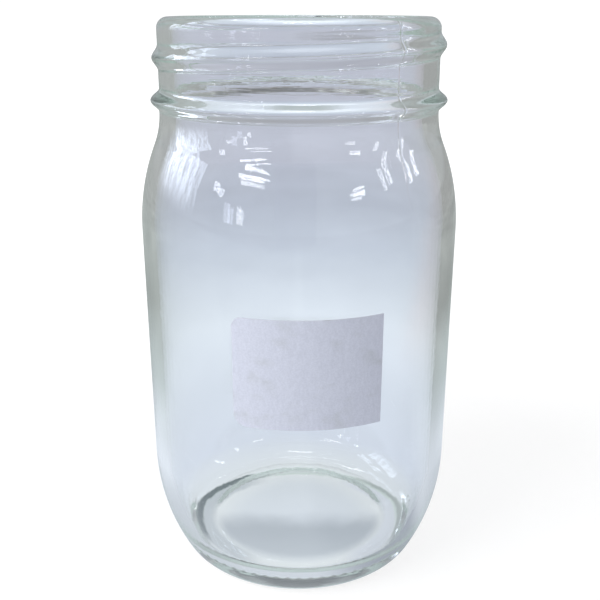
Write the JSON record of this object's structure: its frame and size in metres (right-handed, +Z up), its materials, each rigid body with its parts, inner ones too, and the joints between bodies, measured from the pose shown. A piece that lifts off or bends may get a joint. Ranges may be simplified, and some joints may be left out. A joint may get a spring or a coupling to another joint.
{
  "type": "glass jar",
  "caption": "Open glass preserving jar with a screw-thread mouth, a bead below it, a rounded shoulder and heel, and a small paper label.",
  "frame": {"origin": "on the jar's axis, in the plane that the jar stands on", "axes": "+Z up along the jar's axis, out of the mouth; the label is on the -Y side; +X to the right as the label is read"},
  "size_m": [0.0776, 0.078, 0.1365],
  "materials": {
    "clear_glass": "clear moulded soda-lime glass, faint green in thick places",
    "label_paper": "matt uncoated white label paper"
  },
  "bodies": {
    "root": {"jar_body": "clear_glass", "paper_label": "label_paper"}
  },
  "joints": []
}
